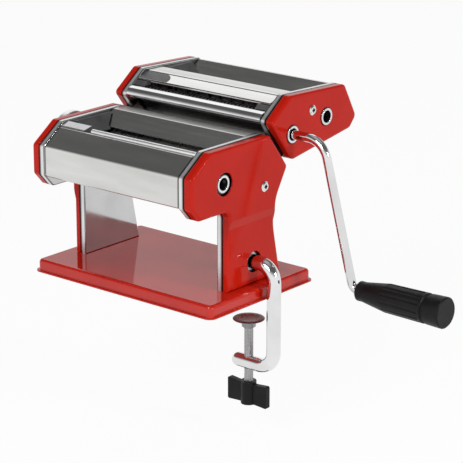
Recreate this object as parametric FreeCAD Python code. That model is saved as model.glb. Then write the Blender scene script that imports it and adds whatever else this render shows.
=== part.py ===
import FreeCAD, Part
import math
import os

os.makedirs("parts", exist_ok=True)
V = FreeCAD.Vector

# Pasta roller machine with a hook-on cutter, crank and table clamp.
# X runs along the rollers with the crank at +X, -Y is the feed side, Z is up.
# The origin is the centre of the base at the plane of its feet. Sizes are in millimetres.

# sheet metal and fits
sheet = 1.2
cover_sheet = 1.0
running_gap = 0.05
loose_gap = 0.3

# base tray
base_length = 205.0
base_depth = 138.3
base_height = 11.0
base_corner = 7.0
base_edge = 3.0
base_least_corner = 1.0
base_lip = 2.4
foot_proud = 0.8
foot_radius = 6.0
foot_inset = 16.0
foot_taper = 0.8

# the two end frames and their casings
box_half = 76.0
frame_rim = 5.4
rim_seam = 1.0
casing_depth = 8.0
casing_edge = 2.6
leg_recess = 2.0
crease_gap = 9.0
crease_drop = 7.5
lip_reach = 2.2
rim_edge = 0.9

# end outline of the roller box and leg, each size a distance from the frame's own planes
front_face = -78.5
top_height = 137.6
top_front_drop = 17.4
front_low_drop = 43.2
box_height = 54.6
top_front = -54.0
top_back = 22.0
rear_slope_run = 24.0
rear_slope = math.radians(52.341)
waist_back = 30.4
waist_drop = 26.5
waist_length = 24.0
waist_high_radius = 30.0
waist_low_radius = 60.0
crotch_radius = 8.0
leg_back = 39.5
leg_front = -30.3
box_bottom_front = -68.5
outline_radius = 4.0

# smoothing rollers
roller_radius = 15.9
roller_end_gap = 1.5
front_roller_y = -37.0
roller_drop = 29.6
closest_gap = 0.2
gap_travel = 2.5
small_journal = 5.0
journal_end = 2.0

# drive sockets
socket_radius = 7.8
socket_sleeve = 6.4
socket_ring = 4.6
socket_bore = 5.25
socket_depth = 18.0
socket_recess = 1.5
socket_proud = 0.6
socket_hole = 10.0
key_width = 2.6
key_height = 1.1
key_gap = 0.2
bush_wall = 1.7
bush_flange = 1.4
bush_flange_wall = 1.2

# gears
gear_teeth = 16
gear_width = 4.4
gear_offset = 2.6
tooth_pressure = math.radians(20.0)
roller_backlash = 0.5
cutter_backlash = 0.3
roller_tooth_reach = 2.0
cutter_tooth_reach = 1.0
tooth_root_gap = 0.35
gear_relief = 0.35

# rear roller adjuster
block_width = 15.0
block_height = 16.0
block_flange = 2.5
block_gap = 0.1
block_corner = 1.0
adjuster_block = 7.0
cam_radius = 3.0
cam_gap = 0.35
spindle_radius = 5.0
spindle_collar = 7.5
knob_radius = 22.0
knob_length = 23.0
knob_draw = 4.0
knob_clearance = 2.0
knob_shaft = 4.0
knob_flat = 3.0
knob_wall = 3.0
knob_scallops = 20
knob_scallop_depth = 1.0
knob_scallop_radius = 3.0
knob_scallop_start = 7.0
knob_foot = 2.0
knob_band = 6.0
knob_shoulder = 2.5
knob_taper = 2.0
knob_crown = 4.5
index_radius = 14.0
index_pin = 1.5
index_hole = 1.9
index_steps = 8

# hopper and scrapers
lip_radius = 2.2
lip_width = 5.5
hopper_slope_run = 6.5
hopper_back_top = 8.0
hopper_back_run = 17.5
hopper_back_drop = 11.4
hopper_foot_gap = 0.6
cover_return = 9.0
rear_return_run = 8.0
rear_return_drop = 14.0
guide_reach = 14.0
guide_gap = 0.3
guide_drop = 2.0
guide_top_gap = 2.5
guide_foot_gap = 0.8
guide_step = 1.0
guide_top = 3.0
scraper_gap = 0.3
scraper_sheet = 0.8
scraper_bend = 1.5
scraper_start = 2.0
scraper_drop = 4.0
front_scraper_angle = math.radians(232.0)
rear_scraper_angle = math.radians(-62.0)

# ties and screws
tie_radius = 3.2
tie_y = 14.6
tie_drop = 13.0
front_tie_y = -66.0
front_tie_drop = 8.0
screw_radius = 1.7
screw_head = 4.5
screw_head_height = 1.6
screw_socket = 1.6
screw_edge_height = 0.6
screw_crown = 3.2
screw_socket_floor = 0.5
screw_reach = 10.0
boss_wall = 1.2
base_screw_radius = 1.4
base_screw_gap = 0.1
base_screw_head = 3.2
base_screw_crown = 2.2
base_screw_spread = 19.0
base_screw_rise = 6.0

# cutter attachment: end outline and rollers, measured from the top back corner of the roller box
cutter_outline = [(2.0, 9.4, 4.0), (27.5, 28.4, 4.0), (103.5, 25.0, 4.0),
                  (120.5, -5.6, 6.0), (111.5, -15.6, 6.0), (30.5, -28.0, 6.0)]
cutter_radius = 8.9
cutter_distance = 17.0
fine_mate_angle = math.radians(134.0)
wide_mate_angle = math.radians(12.0)
fine_back = 29.8
fine_drop = 5.0
wide_back = 76.4
wide_rise = 1.6
cutter_core = 6.7
cutter_journal = 4.0
fine_pitch = 4.0
wide_pitch = 13.0
ring_side_gap = 0.2
cutter_tie_back = 56.8
cutter_tie_rise = 11.0
nose_radius = 4.0
nose_top_radius = 6.0
nose_turn_run = 3.5
nose_turn_rise = 5.4
nose_reach = 9.2
nose_slope = math.radians(36.0)
roof_front = 21.5
roof_front_height = 19.4
roof_ridge = 32.0
roof_ridge_height = 26.0
roof_back = 49.0
back_cover_edge = 100.5
back_wall_run = 17.5
back_wall_drop = 11.8
back_edge_drop = 0.8
back_fold_run = 5.0
back_fold_drop = 5.5
roof_wall_run = 3.0
roof_wall_drop = 13.0
roof_front_rise = 1.2
roof_back_rise = 0.6
roof_fold_run = 5.0
roof_fold_drop = 3.5
nose_foot = 9.0
fold_radius = 1.5
ridge_radius = 3.0
cutter_guide_lean = 1.2
cutter_guide_low = 13.0
cutter_guide_step = 7.6
cutter_guide_top = 4.0
cheek_reach = 13.0
cheek_run = 8.6
cheek_rise = 3.2
cheek_gap = 0.4
cheek_corner = 1.5

# rails that the cutter hangs on
rail_length = 24.0
rail_stem = 3.0
rail_head = 6.4
rail_stem_height = 3.2
rail_head_height = 1.6
rail_gap = 0.3
rail_start = 10.0
channel_wall = 1.4
channel_rise = 12.0

# crank and grip
crank_radius = 4.0
crank_reach = 32.8
crank_drop = 123.5
crank_splay = math.radians(15.2)
crank_bend = 20.0
grip_bend = 7.0
crank_end_gap = 0.03
crank_end_length = 12.0
key_length = 3.0
key_inset = 0.8
crank_inset = 1.0
grip_length = 88.0
grip_start = 1.2
grip_small = 8.6
grip_large = 13.0
grip_flutes = 12
grip_flute_depth = 1.1
grip_wall = 1.6
grip_cap = 13.4
grip_spindle = 3.4
grip_edge = 1.0
grip_neck = 6.0
grip_swell = 30.0
grip_swell_drop = 0.6
grip_collar = 16.0
grip_groove = 2.0
grip_groove_depth = 1.4
grip_cap_band = 3.0
grip_flute_radius = 2.6
grip_flute_start = 14.0
grip_flute_end = 5.0

# table clamp
clamp_radius = 6.2
clamp_y = 3.8
clamp_z = 31.0
clamp_gap = 0.1
clamp_hole = 9.2
clamp_sleeve_wall = 1.8
clamp_sleeve = 8.0
clamp_upright = 109.9
clamp_bend = 15.0
clamp_low = -60.6
clamp_tip = 65.5
clamp_end_reach = 2.0
clamp_screw_x = 82.6
thread_radius = 4.0
thread_gap = 0.08
pad_top = -20.4
pad_radius = 14.5
pad_thickness = 3.0
pad_edge = 1.0
pad_hub = 6.5
pad_hub_height = 5.0
wing_top = -77.7
wing_height = 21.0
wing_span = 43.0
wing_thickness = 4.6
wing_boss = 6.8
wing_waist = 9.0
wing_low_notch = 0.8
wing_tip_drop = 0.8
wing_top_notch = 2.0
wing_tip_radius = 1.5
wing_ear_radius = 1.5
wing_notch_radius = 6.0
wing_boss_rise = 0.4
wing_bite = 12.6

# planes and places worked out from the sizes above
rim_x = box_half + frame_rim
casing_x = rim_x + rim_seam
face_x = casing_x + casing_depth
leg_face_x = face_x - leg_recess
roller_half = box_half - roller_end_gap
front_high = top_height - top_front_drop
front_low = top_height - front_low_drop
box_bottom = top_height - box_height
crease_top = box_bottom - crease_gap
roller_z = top_height - roller_drop
back_vertex = top_back + rear_slope_run
back_vertex_height = top_height - rear_slope_run * math.tan(rear_slope)
waist_high = back_vertex_height - waist_drop
waist_low = waist_high - waist_length
tie_z = roller_z - tie_drop
front_tie_z = roller_z - front_tie_drop
closest_distance = 2.0 * roller_radius + closest_gap
rear_roller_y = front_roller_y + closest_distance + gap_travel
knob_y = rear_roller_y - gap_travel / 2.0
gear_x = box_half + sheet + gear_offset
block_seat = box_half + sheet + running_gap
block_face = gear_x - loose_gap
base_top = foot_proud + base_height
crank_tip_x = face_x + socket_proud - socket_depth + crank_inset
cutter_corners = [(top_back + u, top_height + v, r) for u, v, r in cutter_outline]
front_cutter_y = top_back + fine_back
front_cutter_z = top_height - fine_drop
rear_cutter_y = top_back + wide_back
rear_cutter_z = top_height + wide_rise
cutter_tie_y = top_back + cutter_tie_back
cutter_tie_z = top_height + cutter_tie_rise
roof_front_y = top_back + roof_front
roof_front_z = top_height + roof_front_height
roof_top_y = top_back + roof_ridge
roof_top_z = top_height + roof_ridge_height
roof_back_y = top_back + roof_back
wide_back_y = top_back + back_cover_edge


def in_side(u, v):
    return V(0, u, v)


def in_plan(u, v):
    return V(u, v, 0)


def in_front(u, v):
    return V(u, 0, v)


def round_corner(before, here, after, radius):
    # tangent points and middle of the arc that rounds one corner
    first = (before - here).normalize()
    second = (after - here).normalize()
    half = first.getAngle(second) / 2.0
    run = radius / math.tan(half)
    bisector = (first + second).normalize()
    middle = here + bisector * (radius / math.sin(half) - radius)
    return here + first * run, middle, here + second * run


def outline(corners, place):
    # closed wire through corners (u, v, radius)
    points = [place(u, v) for u, v, radius in corners]
    count = len(corners)
    spans = []
    for i in range(count):
        radius = corners[i][2]
        if radius > 0:
            spans.append(round_corner(points[i - 1], points[i], points[(i + 1) % count], radius))
        else:
            spans.append((points[i], None, points[i]))
    edges = []
    for i in range(count):
        start, middle, end = spans[i]
        if middle is not None:
            edges.append(Part.Arc(start, middle, end).toShape())
        edges.append(Part.LineSegment(end, spans[(i + 1) % count][0]).toShape())
    return Part.Wire(edges)


def prism(wire, start, run):
    face = Part.Face(wire)
    face.translate(start)
    return face.extrude(run)


def prism_x(wire, low, high):
    return prism(wire, V(low, 0, 0), V(high - low, 0, 0))


def inset(wire, distance):
    return wire.makeOffset2D(-distance)


def rod_x(low, high, y, z, radius):
    return Part.makeCylinder(radius, high - low, V(low, y, z), V(1, 0, 0))


def tube_x(low, high, y, z, radius, bore):
    return rod_x(low, high, y, z, radius).cut(rod_x(low, high, y, z, bore))


def mirrored(shape):
    return shape.mirror(V(0, 0, 0), V(1, 0, 0))


def bent_strip(path, thickness):
    # closed corners of a bent sheet: path points (u, v, radius), with the thickness on the left
    def line(i):
        (u0, v0, r0), (u1, v1, r1) = path[i], path[i + 1]
        length = math.hypot(u1 - u0, v1 - v0)
        return u0, v0, (u1 - u0) / length, (v1 - v0) / length

    other = []
    last = len(path) - 1
    for i in range(len(path)):
        u, v, radius = path[i]
        if i == 0 or i == last:
            start_u, start_v, du, dv = line(min(i, last - 1))
            other.append((u - dv * thickness, v + du * thickness, 0))
            continue
        a = line(i - 1)
        b = line(i)
        turn = math.atan2(a[2] * b[3] - a[3] * b[2], a[2] * b[2] + a[3] * b[3])
        spread = thickness * math.tan(turn / 2.0)
        nearer = radius - math.copysign(thickness, turn)
        other.append((u - a[3] * thickness - a[2] * spread, v + a[2] * thickness - a[3] * spread,
                      max(nearer, 0)))
    return path + other[::-1]


def strip_x(path, thickness, low, high):
    return prism_x(outline(bent_strip(path, thickness), in_side), low, high)


def bent_rod(points, radius):
    # round rod along points (position, bend radius) of straight runs and arcs
    edges = []
    here = points[0][0]
    for i in range(1, len(points) - 1):
        start, middle, end = round_corner(points[i - 1][0], points[i][0], points[i + 1][0], points[i][1])
        edges.append(Part.LineSegment(here, start).toShape())
        edges.append(Part.Arc(start, middle, end).toShape())
        here = end
    edges.append(Part.LineSegment(here, points[-1][0]).toShape())
    direction = points[1][0] - points[0][0]
    section = Part.Wire(Part.Circle(points[0][0], direction, radius).toShape())
    return Part.Wire(edges).makePipeShell([section], True, False)


def revolved_x(profile, y, z):
    # solid of revolution about a line along X, from (x, radius) points
    wire = Part.makePolygon([V(x, 0, r) for x, r in profile + [profile[0]]])
    solid = Part.Face(wire).revolve(V(0, 0, 0), V(1, 0, 0), 360)
    solid.translate(V(0, y, z))
    return solid


def gear_wire(distance, reach, backlash, first_tooth):
    # spur gear with involute flanks for a pair of equal gears at the given centre distance
    pitch = distance / 2.0
    base = pitch * math.cos(tooth_pressure)
    tip = pitch + reach
    root = pitch - reach - tooth_root_gap
    involute_at_pitch = math.tan(tooth_pressure) - tooth_pressure
    half_pitch_tooth = math.pi / (2 * gear_teeth) - backlash / (2.0 * distance)
    flank = [root, base, pitch, (pitch + tip) / 2.0, tip]
    points = []
    for tooth in range(gear_teeth):
        middle = first_tooth + 2.0 * math.pi * tooth / gear_teeth
        rising = []
        for radius in flank:
            pressure = math.acos(min(base / radius, 1.0))
            half = half_pitch_tooth + involute_at_pitch - (math.tan(pressure) - pressure)
            rising.append((radius, half))
        for radius, half in rising:
            points.append(V(0, radius * math.cos(middle - half), radius * math.sin(middle - half)))
        for radius, half in rising[::-1]:
            points.append(V(0, radius * math.cos(middle + half), radius * math.sin(middle + half)))
    return Part.makePolygon(points + [points[0]])


def gear(y, z, bore, distance, reach, backlash, first_tooth):
    wire = gear_wire(distance, reach, backlash, first_tooth)
    wire.translate(V(0, y, z))
    return prism_x(wire, gear_x, gear_x + gear_width).cut(rod_x(gear_x, gear_x + gear_width, y, z, bore))


def main_outline():
    return outline([
        (front_face, front_low, outline_radius),
        (front_face, front_high, outline_radius),
        (top_front, top_height, outline_radius),
        (top_back, top_height, outline_radius),
        (back_vertex, back_vertex_height, outline_radius),
        (waist_back, waist_high, waist_high_radius),
        (waist_back, waist_low, waist_low_radius),
        (leg_back, base_top, 0),
        (leg_front, base_top, 0),
        (leg_front, box_bottom, crotch_radius),
        (box_bottom_front, box_bottom, outline_radius)], in_side)


def cutter_wire():
    return outline(cutter_corners, in_side)


def end_frame(wire):
    # pressed plate with a rim turned outward along its whole outline
    body = prism_x(wire, box_half, rim_x)
    inner = [e for e in body.Edges if all(abs(v.X - box_half) < 1e-6 for v in e.Vertexes)]
    body = body.makeFillet(rim_edge, inner)
    return body.cut(prism_x(inset(wire, sheet), box_half + sheet, rim_x))


def domed_prism(wire, high):
    # prism with its outer edge rounded
    body = prism_x(wire, casing_x, high)
    outer = [e for e in body.Edges if all(abs(v.X - high) < 1e-6 for v in e.Vertexes)]
    return body.makeFillet(casing_edge, outer)


def casing_shell(wire, body, cavity):
    # hollow cover with a locating lip that fits inside the frame's rim
    lip_outer = inset(wire, sheet + running_gap)
    lip_inner = inset(wire, 2.0 * sheet + running_gap)
    lip = prism_x(lip_outer, casing_x - lip_reach, casing_x).cut(
        prism_x(lip_inner, casing_x - lip_reach, casing_x))
    bridge = prism_x(inset(wire, sheet / 2.0), casing_x, casing_x + sheet).cut(
        prism_x(lip_inner, casing_x, casing_x + sheet))
    return body.cut(cavity).fuse([lip, bridge]).removeSplitter()


def main_casing():
    # the face steps back below a sloping crease where the leg begins
    wire = main_outline()
    upper = domed_prism(wire, face_x)
    slope = leg_recess / crease_drop
    low_z = crease_top - (face_x - casing_x) / slope
    wedge = outline([(casing_x, low_z, 0), (face_x, crease_top, 0), (face_x, base_top - sheet, 0),
                     (casing_x, base_top - sheet, 0)], in_front)
    reach = base_depth
    upper = upper.cut(prism(wedge, V(0, -reach, 0), V(0, 2.0 * reach, 0)))
    body = upper.fuse(domed_prism(wire, leg_face_x))
    inner = inset(wire, sheet)
    cavity = prism_x(inner, casing_x, leg_face_x - sheet)
    upper_cavity = prism_x(inner, casing_x, face_x - sheet)
    room = Part.makeBox(face_x, 2.0 * reach, top_height, V(0, -reach, crease_top + sheet))
    return casing_shell(wire, body, cavity.fuse(upper_cavity.common(room)))


def cutter_casing():
    wire = cutter_wire()
    cavity = prism_x(inset(wire, sheet), casing_x, face_x - sheet)
    return casing_shell(wire, domed_prism(wire, face_x), cavity)


def screw_boss(y, z, outer_face):
    low = box_half + sheet
    return tube_x(low, outer_face - sheet, y, z, screw_radius + boss_wall, screw_radius)


def export(shape, name):
    shape.exportStep("parts/" + name + ".step")


# base tray with its out-turned lip and four feet
def base_shape(shrink, low, high):
    half_x = base_length / 2.0 - shrink
    half_y = base_depth / 2.0 - shrink
    radius = base_corner - min(shrink, base_corner - base_least_corner)
    corners = [(-half_x, -half_y, radius), (half_x, -half_y, radius),
               (half_x, half_y, radius), (-half_x, half_y, radius)]
    return prism(outline(corners, in_plan), V(0, 0, low), V(0, 0, high - low))


def base_screw_places():
    x = box_half + sheet + base_screw_gap + base_screw_radius
    middle = (leg_front + leg_back) / 2.0
    return [(side * x, middle + end * base_screw_spread) for side in (-1, 1) for end in (-1, 1)]


def make_base():
    skirt = base_shape(base_lip, foot_proud, base_top)
    top_edges = [e for e in skirt.Edges if all(abs(v.Z - base_top) < 1e-6 for v in e.Vertexes)]
    skirt = skirt.makeFillet(base_edge, top_edges)
    hollow = base_shape(base_lip + sheet, foot_proud, base_top - sheet)
    hollow_edges = [e for e in hollow.Edges
                    if all(abs(v.Z - base_top + sheet) < 1e-6 for v in e.Vertexes)]
    hollow = hollow.makeFillet(base_edge - sheet, hollow_edges)
    lip = base_shape(0, foot_proud, foot_proud + sheet)
    tray = skirt.fuse(lip).cut(hollow).removeSplitter()
    for x, y in base_screw_places():
        tray = tray.cut(Part.makeCylinder(base_screw_radius, base_top, V(x, y, 0)))
    return tray


def make_feet():
    feet = []
    for x in (-1, 1):
        for y in (-1, 1):
            place = V(x * (base_length / 2.0 - foot_inset), y * (base_depth / 2.0 - foot_inset), 0)
            feet.append(Part.makeCone(foot_radius, foot_radius * foot_taper, base_top - sheet, place))
    return Part.makeCompound(feet)


def make_base_screws():
    screws = []
    for x, y in base_screw_places():
        seat = base_top - sheet
        shank = Part.makeCylinder(base_screw_radius, sheet * 2 + base_screw_rise, V(x, y, seat))
        head = Part.makeCone(base_screw_crown, base_screw_head, screw_head_height,
                             V(x, y, seat - screw_head_height))
        screws.append(shank.fuse(head).removeSplitter())
    return Part.makeCompound(screws)


# roller box
def slope_directions():
    # unit vectors down the rear slope and square out of it
    run = V(0, back_vertex - top_back, back_vertex_height - top_height).normalize()
    return run, V(0, -run.z, run.y)


def bush_radius(journal):
    return journal + running_gap + bush_wall


def make_bush(y, z, journal):
    # flanged bush in a right-hand plate, with the flange outside
    outer = bush_radius(journal)
    low = box_half
    seat = box_half + sheet
    body = rod_x(low, seat, y, z, outer).fuse(
        rod_x(seat, seat + bush_flange, y, z, outer + bush_flange_wall))
    return body.cut(rod_x(low, seat + bush_flange, y, z, journal + running_gap)).removeSplitter()


def slider_wire(length):
    y = rear_roller_y - gap_travel / 2.0
    half = length / 2.0
    rise = block_height / 2.0 - block_flange
    low = roller_z - rise
    high = roller_z + rise
    return outline([(y - half, low, block_corner), (y + half, low, block_corner),
                    (y + half, high, block_corner), (y - half, high, block_corner)], in_side)


def plate_cut(wire):
    return prism_x(wire, box_half, box_half + sheet)


def make_main_frame(right):
    frame = end_frame(main_outline())
    plate_end = box_half + sheet
    journal = socket_sleeve if right else small_journal
    frame = frame.cut(rod_x(box_half, plate_end, front_roller_y, roller_z, bush_radius(journal)))
    neck = block_width - 2.0 * block_flange
    frame = frame.cut(plate_cut(slider_wire(neck + gap_travel + 2.0 * block_gap)))
    frame = frame.cut(rod_x(box_half, plate_end, tie_y, tie_z, screw_radius))
    for x, y in base_screw_places():
        if x > 0:
            frame = frame.cut(Part.makeCylinder(base_screw_radius, sheet, V(x, y, base_top)))
    if right:
        frame = frame.cut(rod_x(box_half, plate_end, clamp_y, clamp_z, clamp_radius + clamp_gap))
    return frame


def make_right_casing():
    casing = main_casing().fuse(screw_boss(tie_y, tie_z, face_x))
    casing = casing.cut(rod_x(casing_x, face_x, front_roller_y, roller_z, socket_hole))
    casing = casing.cut(rod_x(casing_x, face_x, tie_y, tie_z, screw_radius))
    return casing.cut(rod_x(casing_x, face_x, clamp_y, clamp_z, clamp_hole))


def index_places():
    for step in range(index_steps + 1):
        angle = math.pi * step / index_steps
        yield knob_y - index_radius * math.sin(angle), roller_z + index_radius * math.cos(angle)


def make_left_casing():
    casing = main_casing().fuse(screw_boss(tie_y, tie_z, face_x))
    casing = casing.cut(rod_x(casing_x, face_x, tie_y, tie_z, screw_radius))
    casing = casing.cut(rod_x(casing_x, face_x, knob_y, roller_z, spindle_radius + running_gap))
    for y, z in index_places():
        casing = casing.cut(rod_x(casing_x, face_x, y, z, index_hole))
    return mirrored(casing)


def make_tie(y, z):
    bar = rod_x(-box_half, box_half, y, z, tie_radius)
    bar = bar.cut(rod_x(box_half - screw_reach, box_half, y, z, screw_radius))
    return bar.cut(rod_x(-box_half, screw_reach - box_half, y, z, screw_radius))


def make_screw(y, z, outer_face):
    low = box_half - screw_reach
    shank = rod_x(low, outer_face, y, z, screw_radius)
    crown = outer_face + screw_head_height
    head = revolved_x([(outer_face, 0), (outer_face, screw_head),
                       (outer_face + screw_edge_height, screw_head), (crown, screw_crown),
                       (crown, screw_socket), (outer_face + screw_socket_floor, screw_socket),
                       (outer_face + screw_socket_floor, 0)], y, z)
    return shank.fuse(head).removeSplitter()


def screw_pair(y, z):
    screw = make_screw(y, z, face_x)
    return Part.makeCompound([screw, mirrored(screw)])


def make_front_cover():
    # feed-side cover: lower return, front wall, sloping top and the lip that folds into the hopper
    lip_foot_y = top_front + hopper_slope_run
    roller_top = roller_z + math.sqrt((roller_radius + hopper_foot_gap) ** 2
                                      - (lip_foot_y + cover_sheet - front_roller_y) ** 2)
    path = [(box_bottom_front + cover_return, box_bottom + loose_gap, 0),
            (box_bottom_front, box_bottom + loose_gap, outline_radius),
            (front_face + loose_gap, front_low, outline_radius),
            (front_face + loose_gap, front_high, outline_radius),
            (top_front, top_height - loose_gap, lip_radius),
            (top_front + lip_width, top_height - loose_gap, lip_radius),
            (lip_foot_y, roller_top + cover_sheet, 0)]
    return strip_x(path[::-1], cover_sheet, -box_half, box_half)


def make_rear_cover():
    # hopper back wall, flat top strip and the slope down to the rear edge
    foot_y = hopper_back_top - hopper_back_run
    down, out = slope_directions()
    corner = V(0, back_vertex, back_vertex_height) - out * loose_gap
    top = top_height - loose_gap
    path = [(foot_y, top - hopper_back_drop, 0), (hopper_back_top, top, lip_radius),
            (top_back - loose_gap, top, lip_radius), (corner.y, corner.z, outline_radius),
            (waist_back + rear_return_run, back_vertex_height - rear_return_drop, 0)]
    return strip_x(path[::-1], cover_sheet, -box_half, box_half)


def scraper(path):
    return strip_x(path, scraper_sheet, -box_half, box_half)


def make_front_scraper():
    reach = roller_radius + scraper_gap
    tip_y = front_roller_y + reach * math.cos(front_scraper_angle)
    tip_z = roller_z + reach * math.sin(front_scraper_angle)
    floor = box_bottom + loose_gap + cover_sheet
    seat_y = box_bottom_front + cover_return
    return scraper([(box_bottom_front + scraper_start, floor, 0), (seat_y, floor, scraper_bend),
                    (tip_y - scraper_sheet, tip_z - scraper_sheet, 0)])


def make_rear_scraper():
    reach = roller_radius + scraper_gap + scraper_sheet
    tip_y = rear_roller_y + reach * math.cos(rear_scraper_angle)
    tip_z = roller_z + reach * math.sin(rear_scraper_angle)
    floor = tie_z - tie_radius - scraper_sheet - scraper_drop
    return scraper([(tip_y, tip_z, 0), (tie_y + tie_radius, floor, scraper_bend), (waist_back, floor, 0)])


def make_feed_guide():
    # wedge that narrows the feed at one end, between the two hopper walls
    roller_top = roller_z + roller_radius + guide_gap
    top = top_height - guide_drop
    side_gap = cover_sheet + guide_gap
    lip_foot = top_front + hopper_slope_run
    back_foot = hopper_back_top - hopper_back_run - guide_foot_gap
    back_low = top_height - hopper_back_drop + side_gap
    funnel = outline([(top_front + lip_width + side_gap + guide_foot_gap, top, 0),
                      (lip_foot + side_gap + guide_foot_gap, roller_top, 0),
                      (back_foot, roller_top, 0), (back_foot, back_low, 0),
                      (hopper_back_top - 2.0 * guide_top_gap, top, 0)], in_side)
    high = box_half
    wedge = outline([(high, top, 0), (high, roller_top, 0), (high - guide_reach, roller_top, 0),
                     (high - guide_reach, roller_top + guide_step, 0), (high - guide_top, top, 0)], in_front)
    body = prism_x(funnel, high - guide_reach, high)
    reach = base_depth
    return body.common(prism(wedge, V(0, -reach, 0), V(0, 2.0 * reach, 0)))


# rollers, sockets and gears
def socket_cut(end_x, y, z):
    # bore for the crank end with one keyway
    bore = rod_x(end_x - socket_depth, end_x, y, z, socket_bore)
    keyway = Part.makeBox(socket_ring, socket_bore + key_height + key_gap, key_width + 2.0 * key_gap,
                          V(end_x - socket_ring, y, z - key_width / 2.0 - key_gap))
    return bore.fuse(keyway)


def socket_profile(end_x):
    # sleeve through the bush and gear, with a wider ring at the mouth
    return [(end_x - socket_ring, socket_sleeve), (end_x - socket_ring, socket_radius),
            (end_x, socket_radius), (end_x, 0)]


def make_front_roller():
    end_x = face_x - socket_recess
    body = revolved_x([(-box_half - sheet - bush_flange, 0), (-box_half - sheet - bush_flange, small_journal),
                       (-roller_half, small_journal), (-roller_half, roller_radius),
                       (roller_half, roller_radius), (roller_half, socket_sleeve)]
                      + socket_profile(end_x), front_roller_y, roller_z)
    return body.cut(socket_cut(end_x, front_roller_y, roller_z))


def make_rear_roller():
    left_end = -box_half - sheet - journal_end
    right_end = gear_x + gear_width
    return revolved_x([(left_end, 0), (left_end, small_journal), (-roller_half, small_journal),
                       (-roller_half, roller_radius), (roller_half, roller_radius),
                       (roller_half, small_journal), (right_end, small_journal), (right_end, 0)],
                      rear_roller_y, roller_z)


def roller_gear(y, bore, first_tooth):
    return gear(y, roller_z, bore, closest_distance, roller_tooth_reach, roller_backlash, first_tooth)


def make_block():
    # bearing block that slides in the slot of a right-hand plate
    neck = block_width - 2.0 * block_flange
    wire = slider_wire(neck)
    wire.translate(V(0, gap_travel / 2.0, 0))
    shrunk = inset(wire, block_gap)
    body = prism_x(shrunk, box_half - sheet / 2.0, block_seat)
    flange = Part.makeBox(block_face - block_seat, block_width, block_height,
                          V(block_seat, rear_roller_y - block_width / 2.0, roller_z - block_height / 2.0))
    return body.fuse(flange).removeSplitter()


def make_right_block():
    return make_block().cut(rod_x(0, face_x, rear_roller_y, roller_z, small_journal + running_gap))


def make_left_block():
    # its outer half carries the upright slot that the adjuster cam runs in
    body = make_block().cut(rod_x(0, block_face, rear_roller_y, roller_z, small_journal + running_gap))
    depth = block_seat + adjuster_block - block_face
    carrier = Part.makeBox(depth, block_width, block_height,
                           V(block_face, rear_roller_y - block_width / 2.0, roller_z - block_height / 2.0))
    half = cam_radius + cam_gap
    rise = cam_radius + gap_travel / 2.0 + cam_gap
    slot = Part.makeBox(depth, 2.0 * half, 2.0 * rise, V(block_face, rear_roller_y - half, roller_z - rise))
    return mirrored(body.fuse(carrier.cut(slot)).removeSplitter())


def make_spindle():
    # knob spindle with an eccentric cam pin at its inner end
    cam_low = block_face + loose_gap
    cam_high = block_seat + adjuster_block + loose_gap
    cam = rod_x(cam_low, cam_high, rear_roller_y, roller_z, cam_radius)
    collar = rod_x(cam_high, face_x - sheet - loose_gap, knob_y, roller_z, spindle_collar)
    neck = rod_x(face_x - sheet - loose_gap, face_x + knob_clearance, knob_y, roller_z, spindle_radius)
    end = face_x + knob_clearance + knob_length - knob_wall - loose_gap
    shaft = rod_x(face_x + knob_clearance, end, knob_y, roller_z, knob_shaft)
    flat = Part.makeBox(knob_length, knob_shaft, 2.0 * knob_shaft,
                        V(face_x + knob_clearance, knob_y + knob_flat, roller_z - knob_shaft))
    return mirrored(cam.fuse([collar, neck, shaft.cut(flat)]).removeSplitter())


def make_knob():
    # scalloped knob, drawn out so that its index pin is clear of the casing
    low = face_x + knob_clearance + knob_draw
    high = low + knob_length
    body = revolved_x([(low, 0), (low, knob_radius - knob_foot), (low + knob_foot, knob_radius),
                       (low + knob_band, knob_radius), (high - knob_shoulder, knob_radius - knob_taper),
                       (high, knob_radius - knob_crown), (high, 0)], knob_y, roller_z)
    reach = knob_radius + knob_scallop_radius - knob_scallop_depth
    for i in range(knob_scallops):
        angle = 2.0 * math.pi * (i + 0.5) / knob_scallops
        body = body.cut(rod_x(low + knob_scallop_start, high, knob_y + reach * math.cos(angle),
                              roller_z + reach * math.sin(angle), knob_scallop_radius))
    bore_end = high - knob_wall
    gap = knob_shaft + running_gap
    bore = rod_x(low, bore_end, knob_y, roller_z, gap)
    flat = Part.makeBox(knob_length, gap, 2.0 * gap,
                        V(low, knob_y + knob_flat + running_gap, roller_z - gap))
    pin = rod_x(low - knob_draw, low + knob_wall, knob_y, roller_z + index_radius, index_pin)
    return mirrored(body.cut(bore.cut(flat)).fuse(pin).removeSplitter())


# cutter attachment
def mate_place(y, z, angle):
    return y + cutter_distance * math.cos(angle), z + cutter_distance * math.sin(angle)


def ring_profile(pitch, half_step):
    # cutting rings along the roller, shifted half a pitch on the mating roller
    ring = pitch / 2.0 - ring_side_gap
    room = roller_half - ring
    count = int(room / pitch) if half_step == 0 else int(room / pitch - 0.5)
    first = -count * pitch if half_step == 0 else -(count + 0.5) * pitch
    total = 2 * count + 1 if half_step == 0 else 2 * count + 2
    points = []
    for i in range(total):
        middle = first + i * pitch
        points += [(middle - ring / 2.0, cutter_core), (middle - ring / 2.0, cutter_radius),
                   (middle + ring / 2.0, cutter_radius), (middle + ring / 2.0, cutter_core)]
    return points


def make_driven_cutter(y, z, pitch):
    end_x = face_x + socket_proud
    left_end = -box_half - sheet - bush_flange
    profile = [(left_end, 0), (left_end, cutter_journal), (-roller_half, cutter_journal),
               (-roller_half, cutter_core)]
    profile += ring_profile(pitch, 0)
    profile += [(roller_half, cutter_core), (roller_half, socket_sleeve)] + socket_profile(end_x)
    return revolved_x(profile, y, z).cut(socket_cut(end_x, y, z))


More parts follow.
